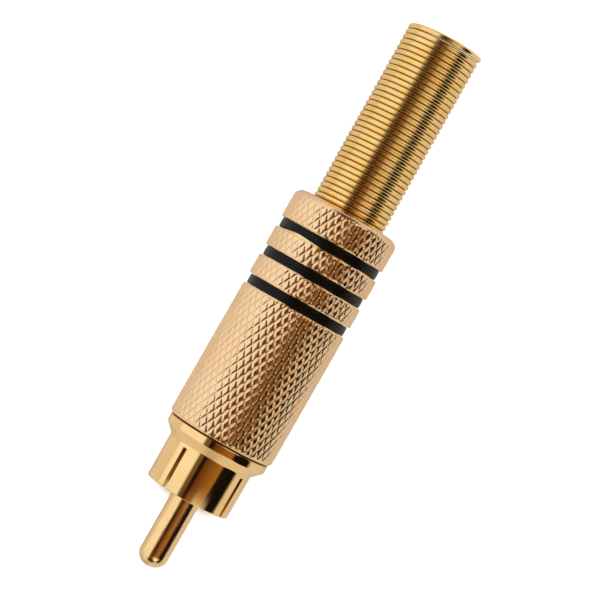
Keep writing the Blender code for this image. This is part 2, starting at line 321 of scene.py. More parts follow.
finishes = {
    "polished": {
        "color": (0.99, 0.71, 0.35, 1), "deepColor": (0.96, 0.66, 0.30, 1), "toneFrom": "Mottle",
        "roughness": (0.04, 0.09), "linesPerMm": 9.0, "lineShare": 0.6, "streakShare": 0.2, "bump": 0.0000018,
    },
    "pin": {
        "color": (0.99, 0.71, 0.38, 1), "deepColor": (0.90, 0.60, 0.28, 1), "toneFrom": "Streaks",
        "roughness": (0.08, 0.14), "linesPerMm": 12.0, "lineShare": 0.3, "streakShare": 1.8, "bump": 0.0000042,
    },
    "wire": {
        "color": (0.99, 0.73, 0.33, 1), "deepColor": (0.95, 0.64, 0.22, 1), "toneFrom": "Mottle",
        "roughness": (0.12, 0.20), "linesPerMm": 3.0, "lineShare": 0.3, "streakShare": 0.4, "bump": 0.0000009,
    },
    "lug": {
        "color": (0.90, 0.66, 0.36, 1), "deepColor": (0.80, 0.56, 0.29, 1), "toneFrom": "Mottle",
        "roughness": (0.26, 0.42), "linesPerMm": 5.0, "lineShare": 0.6, "streakShare": 0.0, "bump": 0.000002,
    },
    "satin": {
        "color": (0.97, 0.70, 0.43, 1), "deepColor": (0.94, 0.65, 0.38, 1), "toneFrom": "Mottle",
        "roughness": (0.15, 0.23), "linesPerMm": 7.0, "lineShare": 0.2, "streakShare": 0.0, "bump": 0.000002,
    },
}
pinGold = plateMaterial("pinGold", finishes["pin"])[0]
lugGold = plateMaterial("lugGold", finishes["lug"])[0]

# Where painted shade darkens the plating (the bore and the slots' walls, the flange's rear rim, the gaps between
# the spring's turns, the knurl's grooves) or where it is cut smooth: its color, its roughness and what marks the
# place
places = {
    "bore": {"color": (0.72, 0.43, 0.11, 1), "roughness": 0.22, "radii": (4.55, 4.62)},
    "rearRimShade": {"color": (0.34, 0.16, 0.03, 1), "roughness": 0.30, "stations": (14.90, 14.95)},
    "wireGapShade": {"color": (0.46, 0.30, 0.09, 1), "roughness": 0.38, "crests": (0.20, 0.62)},
    "knurlGrooveShade": {"color": (0.80, 0.52, 0.26, 1), "depths": (0.5, 1.0), "mostShare": 0.7},
    "turnedCut": {"color": (0.98, 0.70, 0.35, 1), "roughness": 0.17},
}


def shadeWhere(material, tree, shader, share, place):
    plain = shader.inputs["Base Color"].links[0].from_socket
    tree.links.new(blendColors(tree, share, plain, place["color"]), shader.inputs["Base Color"])
    if "roughness" in place:
        smooth = shader.inputs["Roughness"].links[0].from_socket
        mixed = put(tree, "ShaderNodeMix", {"data_type": "FLOAT"}, {0: share, 2: smooth, 3: place["roughness"]})
        tree.links.new(mixed.outputs[0], shader.inputs["Roughness"])
    return material


def makeBodyGold():
    # painted shade darkens the collar's bore and the slots' walls, and the flange's rear rim by the barrel
    material, tree, shader = plateMaterial("bodyGold", finishes["polished"])
    axes = axesOf(tree, tree.nodes.new("ShaderNodeTexCoord").outputs["Object"])
    height = calc(tree, "SUBTRACT", axes["Z"], axisHeight)
    square = calc(tree, "MULTIPLY_ADD", height, height, calc(tree, "MULTIPLY", axes["Y"], axes["Y"]))
    # painted shade: darker, rougher gold inside the bore and on the slots' walls, chosen by radius
    inside, outside = places["bore"]["radii"]
    bore = remap(tree, calc(tree, "SQRT", square), inside * mm, outside * mm, 1.0, 0.0)
    shadeWhere(material, tree, shader, bore, places["bore"])
    # painted shade: dark brown on the flange's rear rim, in the gap before the barrel
    clean, grimy = places["rearRimShade"]["stations"]
    rim = remap(tree, axes["X"], pinTip + clean * mm, pinTip + grimy * mm)
    return shadeWhere(material, tree, shader, rim, places["rearRimShade"])


def makeSpringGold():
    # painted shade darkens the gaps between the turns
    material, tree, shader = plateMaterial("springGold", finishes["wire"])
    crest = attributeOf(tree, "crest")
    gapShade = remap(tree, crest, *places["wireGapShade"]["crests"], 1.0, 0.0, smooth=True)
    return shadeWhere(material, tree, shader, gapShade, places["wireGapShade"])


def makeBarrelGold():
    # painted shade darkens the knurl's grooves, and the ends and the bands' grooves are turned smooth
    material, tree, shader = plateMaterial("barrelGold", finishes["satin"])
    knurlShade = places["knurlGrooveShade"]
    grooveShadeShare = remap(tree, attributeOf(tree, "groove"), *knurlShade["depths"], 0.0, knurlShade["mostShare"])
    shadeWhere(material, tree, shader, grooveShadeShare, knurlShade)
    return shadeWhere(material, tree, shader, attributeOf(tree, "turned"), places["turnedCut"])


bodyGold = makeBodyGold()
springGold = makeSpringGold()
barrelGold = makeBarrelGold()

moulding = {
    "gloss": 0.17, "bump": 0.000003, "dustColor": (0.30, 0.28, 0.26, 1),
    "band": {
        "color": (0.003, 0.0026, 0.0025, 1), "greyColor": (0.007, 0.006, 0.0057, 1),
        "roughness": (0.32, 0.40), "dusty": True,
    },
    "insulator": {
        "color": (0.020, 0.019, 0.018, 1), "greyColor": (0.036, 0.034, 0.032, 1),
        "roughness": (0.42, 0.58), "dusty": False,
    },
}


def mouldedMaterial(name, finish):
    material, tree, shader = newMaterial(name)
    shader.inputs["Specular IOR Level"].default_value = moulding["gloss"]
    detail = detailGroup(tree).outputs
    tone = remap(tree, detail["Grain"], *surface["noiseRange"])
    color = blendColors(tree, tone, finish["color"], finish["greyColor"])
    if finish["dusty"]:
        color = blendColors(tree, detail["Specks"], color, moulding["dustColor"])
    tree.links.new(color, shader.inputs["Base Color"])
    rough = remap(tree, detail["Mottle"], *surface["noiseRange"], *finish["roughness"])
    tree.links.new(rough, shader.inputs["Roughness"])
    bump = put(tree, "ShaderNodeBump", None,
               {"Strength": 1.0, "Distance": moulding["bump"], "Height": detail["Grain"]})
    tree.links.new(bump.outputs[0], shader.inputs["Normal"])
    return material


bandBlack = mouldedMaterial("bandBlack", moulding["band"])
insulatorBlack = mouldedMaterial("insulatorBlack", moulding["insulator"])
print("materials ready")


# Contact pin
pin = {
    "radius": 1.5875, "noseLength": 1.45, "noseSteps": 18, "sides": 128,
    "shoulderRadius": 2.1875, "shoulderFront": 20.65, "shoulderRear": 21.45,
    "cupFront": 22.15, "cupEnd": 25.35, "cupBore": 1.1875,
    "scoopLength": 2.1, "scoopPast": 1, "scoopSide": 5,
}


def makePin():
    quarter = [math.pi / 2 * i / pin["noseSteps"] for i in range(pin["noseSteps"] + 1)]
    nose = [(pin["noseLength"] * (1 - math.cos(a)), pin["radius"] * math.sin(a)) for a in quarter]
    rear = filleted([
        (nose[-1][0], pin["radius"], 0),
        (pin["shoulderFront"], pin["radius"], 0.04),
        (pin["shoulderFront"], pin["shoulderRadius"], 0.06),
        (pin["shoulderRear"], pin["shoulderRadius"], 0.06),
        (pin["shoulderRear"], pin["radius"], 0.04),
        (pin["cupEnd"], pin["radius"], 0.05),
        (pin["cupEnd"], pin["cupBore"], 0.05),
        (pin["cupFront"], pin["cupBore"], 0.1),
        (pin["cupFront"], 0, 0),
    ], closed=False)
    piece = looseObject("contactPin", lathe(nose[:-1] + [tuple(p) for p in rear], pin["sides"], closed=False))
    # the solder cup is open on top, down to the axis
    scoop = bmesh.new()
    bmesh.ops.create_cube(scoop, size=1)
    length, side = pin["scoopLength"] + pin["scoopPast"], pin["scoopSide"]
    bmesh.ops.scale(scoop, verts=scoop.verts, vec=(length, side, side))
    scoopMiddle = (pin["cupEnd"] - pin["scoopLength"] + length / 2, 0, side / 2)
    bmesh.ops.translate(scoop, verts=scoop.verts, vec=scoopMiddle)
    cutWith(piece, [looseObject("cupScoop", scoop)])
    fitToFrame(piece, pinGold, "center_pin")


makePin()
print("pin ready")


# Insulating bush that carries the pin
bush = {
    "bore": 1.6275, "headRadius": 4.11, "radius": 3.0275, "headFront": 13.19,
    "headRear": 14.09, "rear": 20.61, "dishInner": 2.1, "dishOuter": 3.6, "dishDepth": 0.25,
    "dishSlope": 0.15, "sides": 160,
}


def makeBush():
    dishFloor = bush["headFront"] + bush["dishDepth"]
    outline = filleted([
        (bush["headFront"], bush["bore"], 0.06),
        (bush["headFront"], bush["dishInner"], 0.06),
        (dishFloor, bush["dishInner"] + bush["dishSlope"], 0.08),
        (dishFloor, bush["dishOuter"] - bush["dishSlope"], 0.08),
        (bush["headFront"], bush["dishOuter"], 0.06),
        (bush["headFront"], bush["headRadius"], 0.12),
        (bush["headRear"], bush["headRadius"], 0.05),
        (bush["headRear"], bush["radius"], 0.04),
        (bush["rear"], bush["radius"], 0.06),
        (bush["rear"], bush["bore"], 0.06),
    ])
    piece = looseObject("insulatingBush", lathe(outline, bush["sides"]))
    fitToFrame(piece, insulatorBlack, "pin_insulator")


makeBush()
print("bush ready")


# Turned body: slotted collar, cone, flange and spigot
body = {
    "sides": 240, "rim": 8.23, "rimRadius": 4.67, "collarRadius": 4.70, "wall": 0.55,
    "slotRoot": 12.80, "coneFoot": 13.15, "flangeFront": 14.13, "flangeRear": 15.03, "flangeRadius": 5.68,
    "reliefRadius": 4.35, "threadFront": 15.63, "threadLead": 0.3, "spigotRadius": 4.65, "spigotEnd": 20.03,
    "neckRadius": 3.5175, "lipFront": 20.61, "lipRadius": 3.8675, "lipRear": 20.91, "seatBore": 3.0675,
    "slotWidth": 0.5, "slotAngle": 57.0, "sawPast": 1, "sawHeight": 12,
}


def makeBody():
    outline = filleted([
        (body["rim"], body["rimRadius"] - body["wall"], 0.10),
        (body["rim"], body["rimRadius"], 0.14),
        (body["slotRoot"], body["collarRadius"], 0),
        (body["coneFoot"], body["collarRadius"], 0.10),
        (body["flangeFront"], body["flangeRadius"], 0.10),
        (body["flangeRear"], body["flangeRadius"], 0.18),
        (body["flangeRear"], body["reliefRadius"], 0.05),
        (body["threadFront"], body["reliefRadius"], 0.05),
        (body["threadFront"] + body["threadLead"], body["spigotRadius"], 0.04),
        (body["spigotEnd"], body["spigotRadius"], 0.12),
        (body["spigotEnd"], body["neckRadius"], 0.04),
        (body["lipFront"], body["neckRadius"], 0.04),
        (body["lipFront"], body["lipRadius"], 0.06),
        (body["lipRear"], body["lipRadius"], 0.12),
        (body["lipRear"], body["seatBore"], 0.06),
        (body["flangeFront"], body["seatBore"], 0.04),
        (body["flangeFront"], body["collarRadius"] - body["wall"], 0.06),
        (body["slotRoot"], body["collarRadius"] - body["wall"], 0),
    ])
    piece = looseObject("turnedBody", lathe(outline, body["sides"]))
    tools = []
    length = body["slotRoot"] - body["rim"] + body["sawPast"]
    for index in range(2):  # each saw cuts two slots, one across from the other
        saw = bmesh.new()
        bmesh.ops.create_cube(saw, size=1)
        bmesh.ops.scale(saw, verts=saw.verts, vec=(length, body["slotWidth"], body["sawHeight"]))
        bmesh.ops.translate(saw, verts=saw.verts, vec=(body["slotRoot"] - length / 2, 0, 0))
        turn = Matrix.Rotation(math.radians(body["slotAngle"] + 90 * index), 3, "X")
        bmesh.ops.rotate(saw, verts=saw.verts, cent=(0, 0, 0), matrix=turn)
        tools.append(looseObject(f"slotSaw{index}", saw))
    cutWith(piece, tools)
    fitToFrame(piece, bodyGold, "plug_body")


makeBody()
print("body ready")


# Knurled barrel: the blank is turned in staggered rows, and the tree presses the diamonds into it
barrel = {
    "front": 15.13, "rear": 41.50, "radius": 5.95, "bore": 4.70, "rearHole": 4.20, "rearWallFace": 39.6,
    "mouthChamfer": 0.20, "mouthLength": 0.30, "mouthBreak": (0.02, 0.03), "boreChamfer": 0.12,
    "shoulder": 0.90, "shoulderKnurled": 0.62, "shoulderSteps": 6, "landMargin": 0.03,
    "bandMiddles": (30.91, 34.23, 37.55), "grooveHalf": 0.57, "grooveRadius": 5.19, "grooveChamfer": 0.13,
    "diamonds": 42, "pitch": 1.516, "depth": 0.078, "crossDepth": 0.064, "straightShare": 0.10, "topShare": 0.31,
    "phaseAngle": 2.6, "phaseStation": 28.3, "linesPerDiamond": 8, "cornerSoftness": 0.02,
    "unevenness": 0.30, "unevenScale": 0.9, "tilt": 0.05, "waviness": 0.010, "waveScale": 2.2, "seed": 7.0,
}


def barrelRows():
    step = barrel["pitch"] / barrel["linesPerDiamond"] / 2
    rows = []  # station, radius, turned share, half-column offset

    def plain(station, radius, turned=1.0):
        rows.append((station, radius, turned, 0))

    crest, half, chamfer = barrel["radius"], barrel["grooveHalf"], barrel["grooveChamfer"]
    shoulder, margin, boreChamfer = barrel["shoulder"], barrel["landMargin"], barrel["boreChamfer"]
    shoulderStart = barrel["rear"] - shoulder

    def outside(station):
        over = max(station - shoulderStart, 0.0)
        return crest - shoulder + math.sqrt(shoulder * shoulder - over * over)

    def land(start, end):
        plain(start, crest, 0.0)
        first = math.ceil((start + margin - barrel["phaseStation"]) / step)
        last = math.floor((end - margin - barrel["phaseStation"]) / step)
        for index in range(first, last + 1):
            station = barrel["phaseStation"] + index * step
            rows.append((station, outside(station), 0.0, index % 2))
        plain(end, outside(end), 0.0)

    breakLength, breakHeight = barrel["mouthBreak"]
    plain(barrel["front"], barrel["bore"] + boreChamfer)
    plain(barrel["front"], crest - barrel["mouthChamfer"] - breakHeight)
    plain(barrel["front"] + breakLength, crest - barrel["mouthChamfer"])
    start = barrel["front"] + barrel["mouthLength"]
    for middle in barrel["bandMiddles"]:
        land(start, middle - half - chamfer)
        plain(middle - half, crest - chamfer)
        plain(middle - half, barrel["grooveRadius"])
        plain(middle + half, barrel["grooveRadius"])
        plain(middle + half, crest - chamfer)
        start = middle + half + chamfer
    land(start, shoulderStart + barrel["shoulderKnurled"])
    knurlEnd = math.asin(barrel["shoulderKnurled"] / shoulder)
    for index in range(1, barrel["shoulderSteps"] + 1):
        angle = knurlEnd + (math.pi / 2 - knurlEnd) * index / barrel["shoulderSteps"]
        plain(shoulderStart + shoulder * math.sin(angle), crest - shoulder + shoulder * math.cos(angle), 0.0)
    plain(barrel["rear"], barrel["rearHole"] + boreChamfer)
    plain(barrel["rear"] - boreChamfer, barrel["rearHole"])
    plain(barrel["rearWallFace"], barrel["rearHole"])
    plain(barrel["rearWallFace"], barrel["bore"])
    plain(barrel["front"] + boreChamfer, barrel["bore"])
    return rows


def makeBlank():
    shape = bmesh.new()
    turnedLayer = shape.verts.layers.float.new("turned")
    columns = barrel["diamonds"] * barrel["linesPerDiamond"]
    phase = math.radians(barrel["phaseAngle"])
    rings = []
    for station, radius, turned, offset in barrelRows():
        ring = []
        for i in range(columns):
            vert = shape.verts.new(roundPoint(station, radius, phase + 2 * math.pi * (i + offset / 2) / columns))
            vert[turnedLayer] = turned
            ring.append(vert)
        rings.append((ring, offset))
    for (ring, offset), (following, nextOffset) in zip(rings, rings[1:] + rings[:1]):
        for i in range(columns):
            j = (i + 1) % columns
            if offset == nextOffset:
                shape.faces.new((ring[i], following[i], following[j]))
                shape.faces.new((ring[i], following[j], ring[j]))
            elif offset == 0:
                shape.faces.new((ring[i], following[i], ring[j]))
                shape.faces.new((ring[j], following[i], following[j]))
            else:
                shape.faces.new((ring[i], following[i], following[j]))
                shape.faces.new((ring[i], following[j], ring[j]))
    turnLongDiagonals(shape)
    bmesh.ops.recalc_face_normals(shape, faces=shape.faces)
    return shape


def turnLongDiagonals(shape):
    # where two grooves cross, the crease at a diamond's sharp corner runs along the plug
    lines = barrel["linesPerDiamond"]
    phase = math.radians(barrel["phaseAngle"])
    closeBy = 0.001
    picked = []
    for edge in shape.edges:
        a, b = edge.verts
        lowest = min(a.co.yz.length, b.co.yz.length)
        if abs(a.co.x - b.co.x) > closeBy / 10 or lowest < barrel["radius"] - closeBy:
            continue
        if len(edge.link_faces) != 2:
            continue
        middle = (a.co + b.co) / 2
        columnsRound = (math.atan2(-middle.y, middle.z) - phase) * barrel["diamonds"] / (2 * math.pi)
        along = (middle.x - barrel["phaseStation"]) / barrel["pitch"]
        # how far the edge lies from the nearest groove of either sense, in groove spacings
        first = (columnsRound + along + 0.5 + 0.5) % 1 - 0.5
        second = (columnsRound - along + 0.5 + 0.5) % 1 - 0.5
        opposite = [v for face in edge.link_faces for v in face.verts if v not in edge.verts]
        level = abs(opposite[0].co.x + opposite[1].co.x - 2 * middle.x) < closeBy
        nearCrossing = max(abs(first), abs(second)) < 2 / lines
        if level and nearCrossing and abs(first + second) < 0.2 / lines:
            picked.append(edge)
    bmesh.ops.rotate_edges(shape, edges=picked, use_ccw=False)


def makeKnurlTree():
    tree, given, result = newTree(
        "knurlPress", "GeometryNodeTree",
        [("Geometry", "NodeSocketGeometry", None), ("Diamonds Round", "NodeSocketFloat", 42.0),
         ("Pitch Along", "NodeSocketFloat", 1.5), ("Crest Radius", "NodeSocketFloat", 6.0),
         ("Groove Depth", "NodeSocketFloat", 0.08), ("Cross Depth", "NodeSocketFloat", 0.06),
         ("Straight Share", "NodeSocketFloat", 0.1), ("Top Share", "NodeSocketFloat", 0.3),
         ("Phase Angle", "NodeSocketFloat", 0.0),
         ("Phase Station", "NodeSocketFloat", 0.0), ("Unevenness", "NodeSocketFloat", 0.3),
         ("Tilt", "NodeSocketFloat", 0.05), ("Waviness", "NodeSocketFloat", 0.01),
         ("Seed", "NodeSocketFloat", 0.0), ("Material", "NodeSocketMaterial", None)],
        [("Geometry", "NodeSocketGeometry")],
    )
    position = tree.nodes.new("GeometryNodeInputPosition").outputs[0]
    axes = axesOf(tree, position)
    angle = calc(tree, "ARCTAN2", calc(tree, "MULTIPLY", axes["Y"], -1.0), axes["Z"])
    radius = calc(tree, "SQRT", calc(tree, "ADD", calc(tree, "MULTIPLY", axes["Y"], axes["Y"]),
                                     calc(tree, "MULTIPLY", axes["Z"], axes["Z"])))
    turns = calc(tree, "DIVIDE", calc(tree, "SUBTRACT", angle, given["Phase Angle"]), 2 * math.pi)
    columns = calc(tree, "MULTIPLY_ADD", turns, given["Diamonds Round"], 0.5)
    along = calc(tree, "DIVIDE", calc(tree, "SUBTRACT", axes["X"], given["Phase Station"]), given["Pitch Along"])
    # each groove has straight walls that round over into the diamonds' tops
    straight = given["Straight Share"]
    rounding = calc(tree, "MULTIPLY", calc(tree, "SUBTRACT", 1.0, straight), 2.0)
    full = calc(tree, "MULTIPLY_ADD", straight, 0.5, 0.5)
    widening = calc(tree, "DIVIDE", 2.0, calc(tree, "SUBTRACT", 1.0, given["Top Share"]))
    cuts, aways, numbers, places = [], [], [], []
    for sense, depth in (("ADD", given["Cross Depth"]), ("SUBTRACT", given["Groove Depth"])):
        count = calc(tree, sense, columns, along)
        away = calc(tree, "MINIMUM", calc(tree, "MULTIPLY", calc(tree, "PINGPONG", count, 0.5), widening), 1.0)
        over = calc(tree, "MAXIMUM", calc(tree, "SUBTRACT", away, straight), 0.0)
        rounded = calc(tree, "DIVIDE", calc(tree, "MULTIPLY", over, over), rounding)
        risen = calc(tree, "DIVIDE", calc(tree, "SUBTRACT", away, rounded), full)
        cuts.append(calc(tree, "MULTIPLY", calc(tree, "SUBTRACT", 1.0, risen), depth))
        aways.append(away)
        numbers.append(calc(tree, "FLOORED_MODULO", calc(tree, "FLOOR", count), given["Diamonds Round"]))
        places.append(calc(tree, "SUBTRACT", calc(tree, "FRACT", count), 0.5))
    deepest = calc(tree, "SMOOTH_MAX", *cuts, barrel["cornerSoftness"])
    uneven = put(tree, "ShaderNodeTexNoise", {"noise_dimensions": "4D"}, {
        "Vector": position, "W": given["Seed"], "Scale": barrel["unevenScale"], "Detail": 2.0,
    }).outputs["Fac"]
    spread = calc(tree, "MULTIPLY_ADD", calc(tree, "SUBTRACT", uneven, 0.5), given["Unevenness"], 1.0)
    # every diamond is tipped a little its own way
    diamond = put(tree, "ShaderNodeCombineXYZ", None,
                  {"X": numbers[0], "Y": numbers[1], "Z": given["Seed"]}).outputs[0]
    chance = put(tree, "ShaderNodeTexWhiteNoise", {"noise_dimensions": "3D"}, {"Vector": diamond})
    chances = axesOf(tree, chance.outputs["Color"])
    tips = [calc(tree, "MULTIPLY", calc(tree, "SUBTRACT", chances[i], 0.5), places[i]) for i in range(2)]
    tip = calc(tree, "MULTIPLY", calc(tree, "ADD", *tips), calc(tree, "MULTIPLY", *aways))
    cut = calc(tree, "MULTIPLY_ADD", deepest, spread, calc(tree, "MULTIPLY", tip, given["Tilt"]))
    wavy = put(tree, "ShaderNodeTexNoise", {"noise_dimensions": "4D"}, {
        "Vector": position, "W": given["Seed"], "Scale": barrel["waveScale"], "Detail": 1.0,
    }).outputs["Fac"]
    cut = calc(tree, "MAXIMUM", calc(tree, "MULTIPLY_ADD", wavy, given["Waviness"], cut), 0.0)
    pressed = calc(tree, "MINIMUM", radius, calc(tree, "SUBTRACT", given["Crest Radius"], cut))
    scale = calc(tree, "DIVIDE", pressed, radius)
    moved = put(tree, "ShaderNodeCombineXYZ", None, {
        "X": axes["X"], "Y": calc(tree, "MULTIPLY", axes["Y"], scale),
        "Z": calc(tree, "MULTIPLY", axes["Z"], scale),
    })
    # the groove attribute is near 0 on a diamond's top, and 1 at the foot of the deeper grooves
    kept = put(tree, "GeometryNodeStoreNamedAttribute", {"data_type": "FLOAT", "domain": "POINT"}, {
        "Geometry": given["Geometry"], "Name": "groove",
        "Value": calc(tree, "DIVIDE", deepest, given["Groove Depth"]),
    })
    shaped = put(tree, "GeometryNodeSetPosition", None,
                 {"Geometry": kept.outputs[0], "Position": moved.outputs[0]})
    return endTree(tree, shaped.outputs[0], given, result)


def makeBarrel():
    piece = looseObject("knurledBarrel", makeBlank())
    runTree(piece, makeKnurlTree(), {
        "Diamonds Round": float(barrel["diamonds"]), "Pitch Along": barrel["pitch"],
        "Crest Radius": barrel["radius"], "Groove Depth": barrel["depth"], "Cross Depth": barrel["crossDepth"],
        "Straight Share": barrel["straightShare"], "Top Share": barrel["topShare"],
        "Phase Angle": math.radians(barrel["phaseAngle"]), "Phase Station": barrel["phaseStation"],
        "Unevenness": barrel["unevenness"], "Tilt": barrel["tilt"], "Waviness": barrel["waviness"],
        "Seed": barrel["seed"], "Material": barrelGold,
    })
    fitToFrame(piece, barrelGold, "barrel", sharpAngle=36)


makeBarrel()
print("barrel ready")


# Black bands, snapped into the barrel's grooves
bands = {
    "nodes": ("band_ring_front", "band_ring_middle", "band_ring_rear"),
    "width": 1.06, "radius": 5.68, "inner": 5.23, "crown": 0.03, "sides": 220,
    # one band's rear edge falls short, most of all at one angle, and every rear edge wanders a little
    "shortEdge": {"band_ring_rear": 0.16}, "shortEdgeAngle": -42.0, "shortEdgeSpread": 20.0,
    "shortElsewhere": 0.25, "edgeWander": 0.02, "wanderScale": 2, "wanderLift": 0.6,
}


def makeBand(cadNode, middle):
    half = bands["width"] / 2
    outline = filleted([
        (middle - half, bands["inner"], 0.05),
        (middle - half, bands["radius"] - bands["crown"], 0.10),
        (middle, bands["radius"], 0),
        (middle + half, bands["radius"] - bands["crown"], 0.10),
        (middle + half, bands["inner"], 0.05),
    ])
    shape = lathe(outline, bands["sides"])
    short = bands["shortEdge"].get(cadNode, 0.0)
    for vert in shape.verts:
        angle = math.atan2(-vert.co.y, vert.co.z)
        share = (middle + half - vert.co.x) / bands["width"]
        away = (math.degrees(angle) - bands["shortEdgeAngle"]) / bands["shortEdgeSpread"]
        scale = bands["wanderScale"]
        wander = noise.noise(Vector((math.cos(angle) * scale, math.sin(angle) * scale, middle)))
        pull = short * (bands["shortElsewhere"] + math.exp(-away * away))
        pull += bands["edgeWander"] * (wander + bands["wanderLift"])
        vert.co.x += max(pull, 0) * share
    nameParts = cadNode.split("_")
    piece = looseObject(nameParts[-1] + "Band", shape)
    fitToFrame(piece, bandBlack, cadNode)


for cadNode, middle in zip(bands["nodes"], barrel["bandMiddles"]):
    makeBand(cadNode, middle)
print("bands ready")


# Strain-relief spring, wound right-handed from the kept turns to the cut end
spring = {
    "coilRadius": 3.81, "wireRadius": 0.2985, "pitch": 0.598, "start": 39.21, "end": 61.86,
    "endAngle": 77.0, "keptTurns": 1.25, "taperTurns": 0.25, "keptGrowth": 0.45,
    "tailTurns": 0.4, "tailFlare": 0.17, "tailOpening": 0.03, "stepsPerTurn": 84, "wireSides": 14,
    "stray": 0.03, "strayPerTurn": 0.9, "lean": 0.22, "leanFrom": 39.6, "seed": 3.0,
}


def makeCoilTree():
    tree, given, result = newTree(
        "coilWinder", "GeometryNodeTree",
        [("Geometry", "NodeSocketGeometry", None), ("Points", "NodeSocketInt", 100),
         ("Steps Per Turn", "NodeSocketFloat", 84.0), ("Coil Radius", "NodeSocketFloat", 3.8),
         ("Wire Radius", "NodeSocketFloat", 0.3), ("Pitch", "NodeSocketFloat", 0.6),
         ("End Station", "NodeSocketFloat", 60.0), ("End Angle", "NodeSocketFloat", 0.0),
         ("Kept Turns", "NodeSocketFloat", 1.0), ("Taper Turns", "NodeSocketFloat", 0.25),
         ("Kept Growth", "NodeSocketFloat", 0.4), ("Tail Turns", "NodeSocketFloat", 0.4),
         ("Tail Flare", "NodeSocketFloat", 0.1), ("Tail Opening", "NodeSocketFloat", 0.0),
         ("Wire Sides", "NodeSocketInt", 14), ("Stray", "NodeSocketFloat", 0.0),
         ("Lean", "NodeSocketFloat", 0.0), ("Lean From", "NodeSocketFloat", 0.0),
         ("Seed", "NodeSocketFloat", 0.0), ("Material", "NodeSocketMaterial", None)],
        [("Geometry", "NodeSocketGeometry")],
    )
    index = tree.nodes.new("GeometryNodeInputIndex").outputs[0]
    fromStart = calc(tree, "DIVIDE", index, given["Steps Per Turn"])
    lastIndex = calc(tree, "SUBTRACT", given["Points"], 1.0)
    toEnd = calc(tree, "DIVIDE", calc(tree, "SUBTRACT", lastIndex, index), given["Steps Per Turn"])
    taperEnd = calc(tree, "ADD", given["Kept Turns"], given["Taper Turns"])
    kept = remap(tree, fromStart, given["Kept Turns"], taperEnd, 1.0, 0.0, smooth=True)
    flared = remap(tree, toEnd, 0.0, given["Tail Turns"], 1.0, 0.0, smooth=True)
    strayNoise = put(tree, "ShaderNodeTexNoise", {"noise_dimensions": "1D"}, {
        "W": calc(tree, "MULTIPLY_ADD", fromStart, spring["strayPerTurn"], given["Seed"]),
        "Scale": 1.0, "Detail": 1.0,
    }).outputs["Fac"]
    stray = calc(tree, "MULTIPLY", calc(tree, "SUBTRACT", strayNoise, 0.5), given["Stray"])
    radius = calc(tree, "MULTIPLY_ADD", kept, given["Kept Growth"], given["Coil Radius"])
    radius = calc(tree, "MULTIPLY_ADD", flared, given["Tail Flare"], radius)
    radius = calc(tree, "ADD", radius, stray)
    angle = calc(tree, "SUBTRACT", given["End Angle"], calc(tree, "MULTIPLY", toEnd, 2 * math.pi))
    station = calc(tree, "SUBTRACT", given["End Station"], calc(tree, "MULTIPLY", toEnd, given["Pitch"]))
    leaning = remap(tree, station, given["Lean From"], given["End Station"], 0.0, given["Lean"])
    station = calc(tree, "MULTIPLY_ADD", flared, given["Tail Opening"], station)
    sideways = calc(tree, "MULTIPLY", radius, calc(tree, "SINE", angle))
    place = put(tree, "ShaderNodeCombineXYZ", None, {
        "X": station, "Y": calc(tree, "SUBTRACT", leaning, sideways),
        "Z": calc(tree, "MULTIPLY", radius, calc(tree, "COSINE", angle)),
    })
    line = put(tree, "GeometryNodeMeshLine", None, {"Count": given["Points"]})
    wound = put(tree, "GeometryNodeSetPosition", None, {"Geometry": line.outputs[0], "Position": place.outputs[0]})
    position = tree.nodes.new("GeometryNodeInputPosition").outputs[0]
    marked = put(tree, "GeometryNodeStoreNamedAttribute", {"data_type": "FLOAT_VECTOR", "domain": "POINT"}, {
        "Geometry": wound.outputs[0], "Name": "wireMiddle", "Value": position,
    })
    curve = put(tree, "GeometryNodeMeshToCurve", None, {"Mesh": marked.outputs[0]})
    profile = put(tree, "GeometryNodeCurvePrimitiveCircle", None,
                  {"Resolution": given["Wire Sides"], "Radius": given["Wire Radius"]})
    wire = put(tree, "GeometryNodeCurveToMesh", None,
               {"Curve": curve.outputs[0], "Profile Curve": profile.outputs[0], "Fill Caps": True})
    # the crest attribute says how far outward a point of the wire lies from its middle
    middle = put(tree, "GeometryNodeInputNamedAttribute", {"data_type": "FLOAT_VECTOR"},
                 {"Name": "wireMiddle"}).outputs[0]
    outward = vectorCalc(tree, "MULTIPLY", middle, (0.0, 1.0, 1.0))["Vector"]
    outward = vectorCalc(tree, "NORMALIZE", outward)["Vector"]
    offset = vectorCalc(tree, "SUBTRACT", position, middle)["Vector"]
    reach = vectorCalc(tree, "DOT_PRODUCT", offset, outward)["Value"]
    crested = put(tree, "GeometryNodeStoreNamedAttribute", {"data_type": "FLOAT", "domain": "POINT"}, {
        "Geometry": wire.outputs[0], "Name": "crest", "Value": calc(tree, "DIVIDE", reach, given["Wire Radius"]),
    })
    return endTree(tree, crested.outputs[0], given, result)


